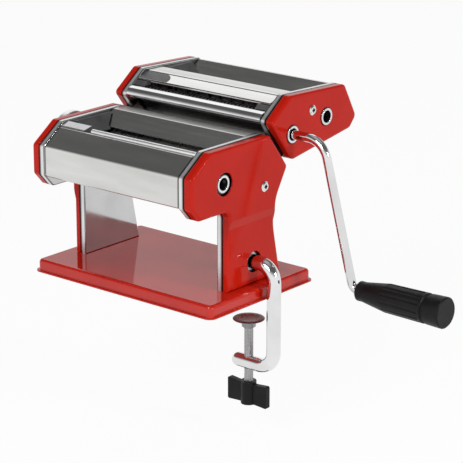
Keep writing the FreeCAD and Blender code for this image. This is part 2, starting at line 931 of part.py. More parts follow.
def make_mate_cutter(y, z, pitch):
    left_end = -box_half - sheet - bush_flange
    right_end = gear_x + gear_width
    profile = [(left_end, 0), (left_end, cutter_journal), (-roller_half, cutter_journal),
               (-roller_half, cutter_core)]
    profile += ring_profile(pitch, 1)
    profile += [(roller_half, cutter_core), (roller_half, cutter_journal), (right_end, cutter_journal),
                (right_end, 0)]
    return revolved_x(profile, y, z)


def cutter_gear(y, z, bore, first_tooth):
    return gear(y, z, bore, cutter_distance, cutter_tooth_reach, cutter_backlash, first_tooth)


def cutter_axes():
    front_mate = mate_place(front_cutter_y, front_cutter_z, fine_mate_angle)
    rear_mate = mate_place(rear_cutter_y, rear_cutter_z, wide_mate_angle)
    return (front_cutter_y, front_cutter_z), front_mate, (rear_cutter_y, rear_cutter_z), rear_mate


def make_cutter_frame(right):
    frame = end_frame(cutter_wire())
    plate_end = box_half + sheet
    for i, (y, z) in enumerate(cutter_axes()):
        journal = socket_sleeve if right and i in (0, 2) else cutter_journal
        frame = frame.cut(rod_x(box_half, plate_end, y, z, bush_radius(journal)))
    frame = frame.cut(rod_x(box_half, plate_end, cutter_tie_y, cutter_tie_z, screw_radius))
    return frame


def make_cutter_casing(right):
    casing = cutter_casing().fuse(screw_boss(cutter_tie_y, cutter_tie_z, face_x))
    casing = casing.cut(rod_x(casing_x, face_x, cutter_tie_y, cutter_tie_z, screw_radius))
    if right:
        relief = cutter_distance / 2.0 + cutter_tooth_reach + gear_relief
        for y, z in cutter_axes():
            casing = casing.cut(rod_x(casing_x - lip_reach, face_x - sheet, y, z, relief))
        for y, z in (cutter_axes()[0], cutter_axes()[2]):
            casing = casing.cut(rod_x(casing_x, face_x, y, z, socket_radius + loose_gap))
    return casing


def cutter_bushes(journal, places):
    return Part.makeCompound([make_bush(y, z, journal) for y, z in places])


def make_small_cutter_bushes():
    axes = cutter_axes()
    right = [make_bush(y, z, cutter_journal) for y, z in (axes[1], axes[3])]
    left = [mirrored(make_bush(y, z, cutter_journal)) for y, z in axes]
    return Part.makeCompound(right + left)


def make_cutter_roof():
    # roof between the two feeds: front slope, flat top and the wall down to the wide rollers
    path = [(roof_back_y + roof_wall_run, roof_top_z - roof_wall_drop, 0),
            (roof_back_y, roof_top_z + roof_back_rise, fold_radius),
            (roof_top_y, roof_top_z + roof_front_rise, ridge_radius),
            (roof_front_y, roof_front_z, fold_radius),
            (roof_front_y + roof_fold_run, roof_front_z - roof_fold_drop, 0)]
    return strip_x(path, cover_sheet, -box_half, box_half)


def make_cutter_nose():
    # rounded front cover that guides the sheet of dough into the fine rollers
    tip = cutter_corners[0]
    foot = cutter_corners[5]
    length = math.hypot(foot[0] - tip[0], foot[1] - tip[1])
    down_y = (foot[0] - tip[0]) / length
    down_z = (foot[1] - tip[1]) / length
    low_y = tip[0] + down_y * (length - nose_foot) - down_z * loose_gap
    low_z = tip[1] + down_z * (length - nose_foot) + down_y * loose_gap
    rise = nose_reach * math.tan(nose_slope)
    path = [(low_y, low_z, 0), (tip[0] + loose_gap, tip[1], nose_radius),
            (tip[0] + nose_turn_run, tip[1] + nose_turn_rise, nose_top_radius),
            (tip[0] + nose_reach, tip[1] + rise - loose_gap, 0)]
    return strip_x(path[::-1], cover_sheet, -box_half, box_half)


def make_cutter_back():
    # back cover: sloping feed wall, rounded top edge and the wall down to the back vertex
    top = cutter_corners[2]
    vertex = cutter_corners[3]
    edge = top[1] - back_edge_drop
    path = [(wide_back_y - back_wall_run, edge - back_wall_drop, 0), (wide_back_y, edge, fold_radius),
            (top[0] - loose_gap, top[1] - loose_gap, ridge_radius),
            (vertex[0] - 2.0 * loose_gap, vertex[1], ridge_radius),
            (vertex[0] - back_fold_run, vertex[1] - back_fold_drop, 0)]
    return strip_x(path[::-1], cover_sheet, -box_half, box_half)


def make_cutter_guide():
    # wedge that narrows the wide feed at one end
    mate_y, mate_z = cutter_axes()[3]
    top = roof_top_z - guide_drop
    step = mate_z + cutter_radius + guide_gap
    low = cutter_tie_z + tie_radius + guide_gap
    front = roof_back_y + cover_sheet + guide_gap + guide_drop
    funnel = outline([(front, top, 0), (front + cutter_guide_lean, low, 0),
                      (mate_y - cutter_guide_low, low, 0), (mate_y - cutter_guide_step, step, 0),
                      (mate_y - cutter_guide_top, top, 0)], in_side)
    high = box_half
    wedge = outline([(high, top, 0), (high, low, 0), (high - guide_reach, low, 0),
                     (high - guide_reach, low + guide_step, 0), (high - guide_top, top, 0)], in_front)
    body = prism_x(funnel, high - guide_reach, high)
    reach = base_depth
    return body.common(prism(wedge, V(0, -reach, 0), V(0, 2.0 * reach, 0)))


def make_cheek():
    # block that closes the fine feed at one end, in front of the roof's edge
    mate_y, mate_z = cutter_axes()[1]
    low = mate_z + cutter_radius + guide_gap
    back = roof_front_y - cheek_gap
    front = back - cheek_run
    wire = outline([(front, low, 0), (back, low, 0), (back, low + cheek_rise, 0),
                    (front + cheek_run / 2.0, low + cheek_rise, cheek_corner)], in_side)
    return prism_x(wire, box_half - cheek_reach, box_half)


# rails on the rear slope and the channels that hang on them
def slope_prism(corners, start, length):
    # prism along the rear slope from corners (x, height above the slope)
    down, out = slope_directions()
    base = V(0, top_back, top_height) + down * start
    points = [base + V(x, 0, 0) + out * height for x, height in corners]
    return Part.Face(Part.makePolygon(points + [points[0]])).extrude(down * length)


def rail_x():
    return box_half + frame_rim / 2.0


def make_rail():
    x = rail_x()
    stem = rail_stem / 2.0
    head = rail_head / 2.0
    stem_prism = slope_prism([(x - stem, 0), (x + stem, 0), (x + stem, rail_stem_height),
                              (x - stem, rail_stem_height)], rail_start, rail_length)
    top = rail_stem_height + rail_head_height
    head_prism = slope_prism([(x - head, rail_stem_height), (x + head, rail_stem_height), (x + head, top),
                              (x - head, top)], rail_start, rail_length)
    return stem_prism.fuse(head_prism).removeSplitter()


def make_channel():
    # channel round the rail's head, closed against the cutter's sloping edge
    x = rail_x()
    half = rail_head / 2.0 + rail_gap + channel_wall
    low = rail_stem_height - rail_gap - channel_wall
    top = rail_stem_height + rail_head_height + rail_gap
    block = slope_prism([(x - half, low), (x + half, low), (x + half, top + channel_rise),
                         (x - half, top + channel_rise)], rail_start, rail_length)
    head = rail_head / 2.0 + rail_gap
    stem = rail_stem / 2.0 + rail_gap
    run = 2.0 * rail_length
    room = slope_prism([(x - head, rail_stem_height - rail_gap), (x + head, rail_stem_height - rail_gap),
                        (x + head, top), (x - head, top)], rail_start - rail_length / 2.0, run)
    mouth = slope_prism([(x - stem, 0), (x + stem, 0), (x + stem, top), (x - stem, top)],
                        rail_start - rail_length / 2.0, run)
    end = prism_x(cutter_wire(), x - 2.0 * half, x + 2.0 * half)
    return block.cut(room).cut(mouth).cut(end)


# crank, grip and clamp
def make_crank():
    y = front_cutter_y
    z = front_cutter_z
    corner_x = face_x + crank_reach
    low_z = z - crank_drop
    low_x = corner_x + crank_drop * math.tan(crank_splay)
    grip_x = grip_place()
    points = [(V(crank_tip_x + crank_end_length, y, z), 0), (V(corner_x, y, z), crank_bend),
              (V(low_x, y, low_z), grip_bend), (V(grip_x, y, low_z), 0)]
    rod = bent_rod(points, crank_radius)
    spindle = rod_x(grip_x, grip_x + grip_length - 2.0 * grip_wall, y, low_z, grip_spindle)
    end = rod_x(crank_tip_x, crank_tip_x + crank_end_length, y, z, socket_bore - crank_end_gap)
    key = Part.makeBox(key_length, socket_bore + key_height, key_width,
                       V(face_x + socket_proud - key_inset - key_length, y, z - key_width / 2.0))
    return rod.fuse([spindle, end, key]).removeSplitter()


def grip_place():
    corner_x = face_x + crank_reach + crank_drop * math.tan(crank_splay)
    turn = math.pi / 2.0 - crank_splay
    return corner_x + grip_bend * math.tan(turn / 2.0) + grip_start


def make_grip():
    # fluted handle, slim at the rod and full at the outer third, with a smooth collar and cap
    low = grip_place() + loose_gap
    high = low + grip_length
    swell = low + grip_swell
    collar = high - grip_collar
    groove = collar - grip_groove
    throat = grip_large - grip_groove_depth
    cap = high - grip_edge - grip_cap_band
    y = front_cutter_y
    z = front_cutter_z - crank_drop
    body = revolved_x([(low, 0), (low, grip_small - grip_edge), (low + grip_edge, grip_small),
                       (low + grip_neck, grip_small), (swell, grip_large - grip_swell_drop),
                       (groove - grip_edge, grip_large), (groove, throat), (collar, throat),
                       (collar + grip_edge, grip_large), (cap, grip_cap), (high - grip_edge, grip_cap),
                       (high, grip_cap - grip_edge), (high, 0)], y, z)
    reach = grip_large + grip_flute_radius - grip_flute_depth
    for i in range(grip_flutes):
        angle = 2.0 * math.pi * i / grip_flutes
        body = body.cut(rod_x(low + grip_flute_start, collar - grip_flute_end, y + reach * math.cos(angle),
                              z + reach * math.sin(angle), grip_flute_radius))
    bore = rod_x(low, low + grip_length - grip_wall, y, z, grip_spindle + running_gap)
    return body.cut(bore)


def make_clamp_rod():
    inner = V(box_half - clamp_end_reach, clamp_y, clamp_z)
    end = V(clamp_tip + clamp_radius, clamp_y, clamp_low)
    points = [(inner, 0), (V(clamp_upright, clamp_y, clamp_z), clamp_bend),
              (V(clamp_upright, clamp_y, clamp_low), clamp_bend), (end, 0)]
    rod = bent_rod(points, clamp_radius)
    tip = Part.makeSphere(clamp_radius, end)
    hole = Part.makeCylinder(thread_radius + thread_gap, 4.0 * clamp_radius,
                             V(clamp_screw_x, clamp_y, clamp_low - 2.0 * clamp_radius))
    return rod.fuse(tip).cut(hole).removeSplitter()


def make_clamp_sleeve():
    low = box_half + sheet
    bore = clamp_radius + clamp_gap
    return tube_x(low, low + clamp_sleeve, clamp_y, clamp_z, bore + clamp_sleeve_wall, bore)


def upright(low, high, radius):
    return Part.makeCylinder(radius, high - low, V(clamp_screw_x, clamp_y, low))


def make_clamp_pad():
    # dished pad with a hub that turns on the screw's end
    edge = pad_top - pad_thickness
    disc = upright(edge, pad_top, pad_radius)
    rims = [e for e in disc.Edges if len(e.Vertexes) == 1]
    disc = disc.makeFillet(pad_edge, rims)
    hub = upright(edge - pad_hub_height, edge, pad_hub)
    pocket = upright(edge - pad_hub_height, edge, thread_radius + running_gap)
    return disc.fuse(hub).cut(pocket).removeSplitter()


def make_clamp_screw():
    return upright(wing_top - wing_bite, pad_top - pad_thickness - loose_gap, thread_radius)


def make_wing():
    # wing knob: round boss with two drawn-out wings
    low = wing_top - wing_height
    boss = upright(low + wing_boss_rise, wing_top, wing_boss)
    half = wing_span / 2.0
    under = low + wing_low_notch
    ear = wing_top - wing_tip_drop
    notch = wing_top - wing_top_notch
    wire = outline([(-half, low, wing_tip_radius), (-wing_waist, under, wing_notch_radius),
                    (wing_waist, under, wing_notch_radius), (half, low, wing_tip_radius),
                    (half, ear, wing_ear_radius), (wing_waist, notch, wing_notch_radius),
                    (-wing_waist, notch, wing_notch_radius), (-half, ear, wing_ear_radius)], in_front)
    wings = prism(wire, V(clamp_screw_x, clamp_y - wing_thickness / 2.0, 0), V(0, wing_thickness, 0))
    body = boss.fuse(wings).removeSplitter()
    return body.cut(upright(wing_top - wing_bite, wing_top, thread_radius))


front_axis, front_mate, rear_axis, rear_mate = cutter_axes()
half_tooth = math.pi / gear_teeth
front_way = math.atan2(front_mate[1] - front_axis[1], front_mate[0] - front_axis[0])
rear_way = math.atan2(rear_mate[1] - rear_axis[1], rear_mate[0] - rear_axis[0])

export(make_base(), "base_tray")
export(make_feet(), "rubber_feet")
export(make_base_screws(), "base_screws")
export(make_main_frame(True), "right_frame")
export(mirrored(make_main_frame(False)), "left_frame")
export(make_right_casing(), "right_casing")
export(make_left_casing(), "left_casing")
export(Part.makeCompound([make_tie(tie_y, tie_z), make_tie(front_tie_y, front_tie_z)]), "tie_bars")
export(screw_pair(tie_y, tie_z), "casing_screws")
export(make_front_cover(), "front_cover")
export(make_rear_cover(), "rear_cover")
export(make_front_scraper(), "front_scraper")
export(make_rear_scraper(), "rear_scraper")
export(make_feed_guide(), "right_feed_guide")
export(mirrored(make_feed_guide()), "left_feed_guide")
export(make_bush(front_roller_y, roller_z, socket_sleeve), "drive_bush")
export(mirrored(make_bush(front_roller_y, roller_z, small_journal)), "idle_bush")
export(make_front_roller(), "front_roller")
export(roller_gear(front_roller_y, socket_sleeve, 0), "front_roller_gear")
export(make_rear_roller(), "rear_roller")
export(roller_gear(rear_roller_y, small_journal, half_tooth), "rear_roller_gear")
export(make_right_block(), "right_bearing_block")
export(make_left_block(), "left_bearing_block")
export(make_spindle(), "adjuster_spindle")
export(make_knob(), "adjuster_knob")
export(Part.makeCompound([make_rail(), mirrored(make_rail())]), "cutter_rails")
export(make_cutter_frame(True), "cutter_right_frame")
export(mirrored(make_cutter_frame(False)), "cutter_left_frame")
export(make_cutter_casing(True), "cutter_right_casing")
export(mirrored(make_cutter_casing(False)), "cutter_left_casing")
export(make_tie(cutter_tie_y, cutter_tie_z), "cutter_tie_bar")
export(screw_pair(cutter_tie_y, cutter_tie_z), "cutter_screws")
export(Part.makeCompound([make_channel(), mirrored(make_channel())]), "cutter_channels")
export(cutter_bushes(socket_sleeve, [front_axis, rear_axis]), "cutter_drive_bushes")
export(make_small_cutter_bushes(), "cutter_idle_bushes")
export(make_cutter_roof(), "cutter_roof")
export(make_cutter_nose(), "cutter_nose")
export(make_cutter_back(), "cutter_back")
cutter_guides = [make_cutter_guide(), make_cheek()]
export(Part.makeCompound(cutter_guides + [mirrored(guide) for guide in cutter_guides]), "cutter_feed_guides")
export(make_driven_cutter(front_axis[0], front_axis[1], fine_pitch), "fine_drive_roller")
export(make_mate_cutter(front_mate[0], front_mate[1], fine_pitch), "fine_mate_roller")
export(make_driven_cutter(rear_axis[0], rear_axis[1], wide_pitch), "wide_drive_roller")
export(make_mate_cutter(rear_mate[0], rear_mate[1], wide_pitch), "wide_mate_roller")
export(cutter_gear(front_axis[0], front_axis[1], socket_sleeve, front_way), "fine_drive_gear")
export(cutter_gear(front_mate[0], front_mate[1], cutter_journal, front_way + half_tooth), "fine_mate_gear")
export(cutter_gear(rear_axis[0], rear_axis[1], socket_sleeve, rear_way), "wide_drive_gear")
export(cutter_gear(rear_mate[0], rear_mate[1], cutter_journal, rear_way + half_tooth), "wide_mate_gear")
export(make_crank(), "crank_rod")
export(make_grip(), "crank_grip")
export(make_clamp_sleeve(), "clamp_sleeve")
export(make_clamp_rod(), "clamp_rod")
export(make_clamp_screw(), "clamp_screw")
export(make_clamp_pad(), "clamp_pad")
export(make_wing(), "clamp_wing")
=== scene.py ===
import bpy, bmesh, math
from mathutils import Matrix, Vector


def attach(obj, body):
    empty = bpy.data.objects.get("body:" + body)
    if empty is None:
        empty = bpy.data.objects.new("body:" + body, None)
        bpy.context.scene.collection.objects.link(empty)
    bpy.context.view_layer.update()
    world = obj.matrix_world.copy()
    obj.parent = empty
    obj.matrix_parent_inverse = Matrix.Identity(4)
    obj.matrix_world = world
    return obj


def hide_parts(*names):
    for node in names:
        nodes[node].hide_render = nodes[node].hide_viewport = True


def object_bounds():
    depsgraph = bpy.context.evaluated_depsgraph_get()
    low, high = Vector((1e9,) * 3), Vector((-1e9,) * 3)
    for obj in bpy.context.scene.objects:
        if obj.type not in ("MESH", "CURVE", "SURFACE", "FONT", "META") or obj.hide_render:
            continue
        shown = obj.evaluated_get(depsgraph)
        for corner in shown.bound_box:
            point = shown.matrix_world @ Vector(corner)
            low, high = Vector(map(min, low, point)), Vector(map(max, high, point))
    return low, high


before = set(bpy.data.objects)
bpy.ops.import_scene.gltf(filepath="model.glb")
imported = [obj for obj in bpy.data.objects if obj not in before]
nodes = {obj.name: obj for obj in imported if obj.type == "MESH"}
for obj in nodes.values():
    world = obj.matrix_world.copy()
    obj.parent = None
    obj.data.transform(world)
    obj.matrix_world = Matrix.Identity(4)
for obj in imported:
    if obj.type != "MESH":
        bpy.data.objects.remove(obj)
cadLow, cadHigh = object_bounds()
scene = bpy.context.scene
scene.view_settings.view_transform = "Standard"
print("frame loaded:", len(nodes), "nodes")


# small helpers for the node trees
def newMaterial(name):
    mat = bpy.data.materials.new(name)
    mat.use_nodes = True
    tree = mat.node_tree
    return mat, tree, tree.nodes["Principled BSDF"]


def addNode(tree, kind, **values):
    node = tree.nodes.new(kind)
    for key, value in values.items():
        if key in node.inputs:
            node.inputs[key].default_value = value
        else:
            setattr(node, key, value)
    return node


def placed(tree, stretch=(1, 1, 1)):
    coord = addNode(tree, "ShaderNodeTexCoord")
    mapping = addNode(tree, "ShaderNodeMapping")
    mapping.inputs["Scale"].default_value = stretch
    tree.links.new(coord.outputs["Object"], mapping.inputs["Vector"])
    return mapping.outputs["Vector"]


def noise(tree, scale, detail=3, stretch=(1, 1, 1)):
    tex = addNode(tree, "ShaderNodeTexNoise", Scale=scale, Detail=detail)
    tree.links.new(placed(tree, stretch), tex.inputs["Vector"])
    return tex.outputs["Fac"]


def ramp(tree, fac, stops):
    node = addNode(tree, "ShaderNodeValToRGB")
    elements = node.color_ramp.elements
    while len(elements) < len(stops):
        elements.new(0.5)
    for element, (at, colour) in zip(elements, stops):
        element.position = at
        element.color = (*colour, 1)
    tree.links.new(fac, node.inputs["Fac"])
    return node.outputs["Color"]


def grey(value):
    return (value, value, value)


def bump(tree, shader, height, strength, soften=0):
    node = addNode(tree, "ShaderNodeBump", Strength=strength, Distance=0.0002)
    tree.links.new(height, node.inputs["Height"])
    if soften:
        edge = addNode(tree, "ShaderNodeBevel", samples=8, Radius=soften)
        tree.links.new(edge.outputs["Normal"], node.inputs["Normal"])
    tree.links.new(node.outputs["Normal"], shader.inputs["Normal"])


def setShader(shader, **values):
    for key, value in values.items():
        shader.inputs[key.replace("_", " ")].default_value = value


# shade that runs along one axis, the same on both sides of the middle
alongScale = 5  # a ramp then covers the first 0.2 m


def along(tree, axis, stops):
    coord = addNode(tree, "ShaderNodeTexCoord")
    split = addNode(tree, "ShaderNodeSeparateXYZ")
    away = addNode(tree, "ShaderNodeMath", operation="ABSOLUTE")
    scaled = addNode(tree, "ShaderNodeMath", operation="MULTIPLY")
    scaled.inputs[1].default_value = alongScale
    tree.links.new(coord.outputs["Object"], split.inputs["Vector"])
    tree.links.new(split.outputs[axis], away.inputs[0])
    tree.links.new(away.outputs[0], scaled.inputs[0])
    return ramp(tree, scaled.outputs[0], [(at * alongScale, grey(value)) for at, value in stops])


def blended(tree, kind, one, other):
    mix = addNode(tree, "ShaderNodeMix", data_type="RGBA", blend_type=kind)
    mix.inputs[0].default_value = 1
    tree.links.new(one, mix.inputs[6])
    tree.links.new(other, mix.inputs[7])
    return mix.outputs[2]


def multiply(tree, one, other):
    return blended(tree, "MULTIPLY", one, other)


def lighter(tree, one, other):
    return blended(tree, "LIGHTEN", one, other)


# gloss red enamel with a slight orange peel and a drift in tone; the casing enamel also has painted shade
# along its edge by the rim
enamel = {"deep": (0.44, 0.009, 0.003), "bright": (0.53, 0.014, 0.005), "peel": 420,
          "smudge": 0.07, "seam": (0.0824, 0.0830), "seamShade": 0.05, "edge": 0.0014}


def makeEnamel(name, seamShaded, shine, gloss):
    mat, tree, shader = newMaterial(name)
    tone = ramp(tree, noise(tree, 14, 4), [(0.32, enamel["deep"]), (0.70, enamel["bright"])])
    # painted shade: a dark band on the casing's wall next to the rim, where the gap between casing and rim
    # lies in shade
    if seamShaded:
        low, high = enamel["seam"]
        tone = multiply(tree, tone, along(tree, "X", [(low, enamel["seamShade"]), (high, 1.0)]))
    tree.links.new(tone, shader.inputs["Base Color"])
    rough = gloss + enamel["smudge"]
    smudge = ramp(tree, noise(tree, 45, 5), [(0.35, grey(gloss)), (0.75, grey(rough))])
    tree.links.new(smudge, shader.inputs["Roughness"])
    bump(tree, shader, noise(tree, enamel["peel"], 2), 0.06, enamel["edge"])
    setShader(shader, Specular_IOR_Level=shine)
    return mat


# bright plate: near mirror, with faint cloudiness and rubbing marks along the sheet; on the rims dark bands
# are painted shade in their grooves and beside the casing, and on the nose the lower side is painted shade
chrome = {"light": (0.80, 0.80, 0.805), "dull": (0.68, 0.68, 0.685), "gloss": 0.05, "cloud": 0.09,
          "rim": (0.0766, 0.0774), "satin": 0.42, "under": [(0.1436, 0.08), (0.1448, 1.0)],
          "groove": [(0.0761, 1.0), (0.0763, 0.07), (0.0767, 0.07),
                     (0.0769, 1.0), (0.0803, 1.0), (0.0806, 0.07)]}


def makeChrome(name, satinRim=False, shadedUnder=False):
    mat, tree, shader = newMaterial(name)
    tone = ramp(tree, noise(tree, 30, 4), [(0.30, chrome["dull"]), (0.65, chrome["light"])])
    if satinRim:
        # painted shade: dark bands on the rim where its groove and the gap to the casing lie in shade
        tone = multiply(tree, tone, along(tree, "X", chrome["groove"]))
    if shadedUnder:
        # painted shade: the nose's lower side is darkened
        tone = multiply(tree, tone, along(tree, "Z", chrome["under"]))
    tree.links.new(tone, shader.inputs["Base Color"])
    gloss = chrome["gloss"]
    cloud = ramp(tree, noise(tree, 60, 6), [(0.35, grey(gloss)), (0.80, grey(gloss + chrome["cloud"]))])
    if satinRim:
        low, high = chrome["rim"]
        cloud = lighter(tree, cloud, along(tree, "X", [(low, 0.0), (high, chrome["satin"])]))
    tree.links.new(cloud, shader.inputs["Roughness"])
    bump(tree, shader, noise(tree, 35, 3, (6, 60, 60)), 0.03)
    setShader(shader, Metallic=1.0)
    return mat


# polished sheet with fine lines along the rollers, and painted shade at its two ends where the sheets meet
# the rims
sheetSteel = {"light": (0.72, 0.715, 0.70), "dull": (0.60, 0.595, 0.58), "gloss": 0.12, "rubbed": 0.12,
              "seam": (0.0748, 0.0752), "seamShade": 0.06, "worn": [(0.13712, 0.0), (0.13718, 0.55)]}


def makeSheetSteel(name, wornTop=False):
    mat, tree, shader = newMaterial(name)
    drift = noise(tree, 22, 5, (0.5, 3, 3))
    tone = ramp(tree, drift, [(0.30, sheetSteel["dull"]), (0.68, sheetSteel["light"])])
    # painted shade: the sheet's ends are darkened where they run into the rims
    low, high = sheetSteel["seam"]
    tone = multiply(tree, tone, along(tree, "X", [(low, 1.0), (high, sheetSteel["seamShade"])]))
    tree.links.new(tone, shader.inputs["Base Color"])
    lines = noise(tree, 90, 4, (0.15, 14, 14))
    rough = sheetSteel["gloss"] + sheetSteel["rubbed"]
    gloss = ramp(tree, lines, [(0.30, grey(sheetSteel["gloss"])), (0.75, grey(rough))])
    if wornTop:
        gloss = lighter(tree, gloss, along(tree, "Z", sheetSteel["worn"]))
    tree.links.new(gloss, shader.inputs["Roughness"])
    bump(tree, shader, lines, 0.05)
    setShader(shader, Metallic=1.0)
    return mat


# turned steel: rings around the axis of each roller; the roller copy is darker, painted shade on the main
# rollers and the clamp's pad, and the satin copy lighter, a painted highlight on the lip roll
turned = {
    "turned_steel": {"light": (0.62, 0.62, 0.62), "dull": (0.42, 0.42, 0.43), "gloss": 0.24, "rough": 0.40},
    "roller_steel": {"light": (0.32, 0.32, 0.32), "dull": (0.20, 0.20, 0.21), "gloss": 0.22, "rough": 0.40},
    "satin_steel": {"light": (0.92, 0.92, 0.92), "dull": (0.80, 0.80, 0.80), "gloss": 0.34, "rough": 0.40},
}


def makeTurned(name):
    look = turned[name]
    mat, tree, shader = newMaterial(name)
    rings = noise(tree, 70, 4, (24, 1, 1))
    tone = ramp(tree, rings, [(0.30, look["dull"]), (0.70, look["light"])])
    tree.links.new(tone, shader.inputs["Base Color"])
    spots = noise(tree, 50, 4, (8, 1, 1))
    gloss = ramp(tree, spots, [(0.30, grey(look["gloss"])), (0.75, grey(look["rough"]))])
    tree.links.new(gloss, shader.inputs["Roughness"])
    bump(tree, shader, rings, 0.10)
    setShader(shader, Metallic=1.0)
    return mat


# dark steel of the cutter rollers, its darkness painted shade inside the cutter head; the gears and the clamp
# pad share it
hardened = {"light": (0.17, 0.17, 0.175), "dull": (0.07, 0.07, 0.075), "gloss": 0.30, "rough": 0.46}


def makeHardened():
    mat, tree, shader = newMaterial("hardened_steel")
    rings = noise(tree, 60, 4, (14, 1, 1))
    tone = ramp(tree, rings, [(0.30, hardened["dull"]), (0.70, hardened["light"])])
    tree.links.new(tone, shader.inputs["Base Color"])
    spots = noise(tree, 80, 4)
    gloss = ramp(tree, spots, [(0.30, grey(hardened["gloss"])), (0.75, grey(hardened["rough"]))])
    tree.links.new(gloss, shader.inputs["Roughness"])
    bump(tree, shader, rings, 0.08)
    setShader(shader, Metallic=1.0)
    return mat


# moulded plastics and rubber share one recipe with their own colours; the feed guides also get painted shade
# at their front ends
moulded = {
    "black_moulding": {"dark": (0.004, 0.004, 0.0045), "light": (0.010, 0.010, 0.011),
                       "gloss": 0.36, "rough": 0.50, "grain": 900, "shine": 0.16},
    "dark_nylon": {"dark": (0.045, 0.045, 0.047), "light": (0.085, 0.085, 0.088),
                   "gloss": 0.30, "rough": 0.44, "grain": 800, "shine": 0.5},
    "grey_nylon": {"dark": (0.20, 0.20, 0.20), "light": (0.30, 0.30, 0.295),
                   "gloss": 0.42, "rough": 0.56, "grain": 700, "shine": 0.4},
    "foot_rubber": {"dark": (0.012, 0.012, 0.012), "light": (0.030, 0.030, 0.030),
                    "gloss": 0.68, "rough": 0.82, "grain": 500, "shine": 0.3},
}
# guide_nylon: dark_nylon with painted shade on the guides' front ends, under the lip
moulded["guide_nylon"] = {**moulded["dark_nylon"], "shade": [(0.0410, 1.0), (0.0416, 0.04)]}


def makeMoulded(name):
    look = moulded[name]
    mat, tree, shader = newMaterial(name)
    tone = ramp(tree, noise(tree, 40, 5), [(0.30, look["dark"]), (0.72, look["light"])])
    # painted shade, where a look has one
    if "shade" in look:
        tone = multiply(tree, tone, along(tree, "Y", look["shade"]))
    tree.links.new(tone, shader.inputs["Base Color"])
    spots = noise(tree, 120, 4)
    gloss = ramp(tree, spots, [(0.30, grey(look["gloss"])), (0.75, grey(look["rough"]))])
    tree.links.new(gloss, shader.inputs["Roughness"])
    bump(tree, shader, noise(tree, look["grain"], 2), 0.12)
    setShader(shader, Specular_IOR_Level=look["shine"])
    return mat


redEnamel = makeEnamel("red_enamel", False, 0.5, 0.03)
# the casing enamel carries the painted shade band next to the rims
casingEnamel = makeEnamel("casing_enamel", True, 0.15, 0.08)
brightChrome = makeChrome("bright_chrome")
# the rim chrome carries the painted shade bands
rimChrome = makeChrome("rim_chrome", satinRim=True)
# the nose chrome carries painted shade on its lower side
noseChrome = makeChrome("nose_chrome", shadedUnder=True)
polishedSheet = makeSheetSteel("polished_sheet")
wornSheet = makeSheetSteel("worn_sheet", wornTop=True)
turnedSteel = makeTurned("turned_steel")
shadedRollerSteel = makeTurned("roller_steel")
satinSteel = makeTurned("satin_steel")
# painted shade: the dark steel of the cutter rollers
shadedCutterSteel = makeHardened()
blackMoulding = makeMoulded("black_moulding")
greyNylon = makeMoulded("grey_nylon")
darkNylon = makeMoulded("dark_nylon")
guideNylon = makeMoulded("guide_nylon")
footRubber = makeMoulded("foot_rubber")
print("finishes made")

# which finish goes on which of the frame's own pieces
finishes = [
    (redEnamel, ["base_tray"]),
    (casingEnamel, ["right_casing", "left_casing", "cutter_right_casing", "cutter_left_casing"]),
    (rimChrome, ["right_frame", "left_frame", "cutter_right_frame", "cutter_left_frame"]),
    (brightChrome, ["crank_rod", "clamp_rod", "casing_screws", "cutter_screws"]),
    (noseChrome, ["cutter_nose"]),
    (wornSheet, ["rear_cover"]),
    (polishedSheet, ["front_cover", "cutter_roof", "cutter_back", "cutter_rails",
                     "cutter_channels", "front_scraper", "rear_scraper"]),
    (shadedRollerSteel, ["front_roller", "rear_roller"]),
    (turnedSteel, ["base_screws", "tie_bars", "cutter_tie_bar",
                   "front_roller_gear", "rear_roller_gear", "adjuster_spindle", "clamp_screw",
                   "clamp_sleeve"]),
    (shadedCutterSteel, ["clamp_pad", "fine_drive_roller", "fine_mate_roller",
                     "wide_drive_roller", "wide_mate_roller",
                     "fine_drive_gear", "fine_mate_gear", "wide_drive_gear", "wide_mate_gear"]),
    (blackMoulding, ["crank_grip", "clamp_wing", "adjuster_knob"]),
    (greyNylon, ["drive_bush", "idle_bush", "cutter_drive_bushes", "cutter_idle_bushes",
                 "right_bearing_block", "left_bearing_block"]),
    (guideNylon, ["right_feed_guide", "left_feed_guide"]),
    (darkNylon, ["cutter_feed_guides"]),
    (footRubber, ["rubber_feet"]),
]
for finish, names in finishes:
    for name in names:
        mesh = nodes[name].data
        mesh.materials.clear()
        mesh.materials.append(finish)
print("finishes set")


# every piece made here goes into the scene through this
def addPiece(name, bm, finish, body, smooth=35):
    bmesh.ops.recalc_face_normals(bm, faces=bm.faces)
    mesh = bpy.data.meshes.new(name)
    bm.to_mesh(mesh)
    bm.free()
    mesh.materials.append(finish)
    mesh.shade_smooth()
    mesh.set_sharp_from_angle(angle=math.radians(smooth))
    piece = bpy.data.objects.new(name, mesh)
    scene.collection.objects.link(piece)
    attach(piece, body)
    return piece


# line of points joined in a row, given as (y, z) in millimetres
def addLine(bm, x, points):
    verts = [bmesh.ops.create_vert(bm, co=(x, y / 1000, z / 1000))["vert"][0] for y, z in points]
    edges = [bm.edges.new(pair) for pair in zip(verts, verts[1:])]
    return verts, edges


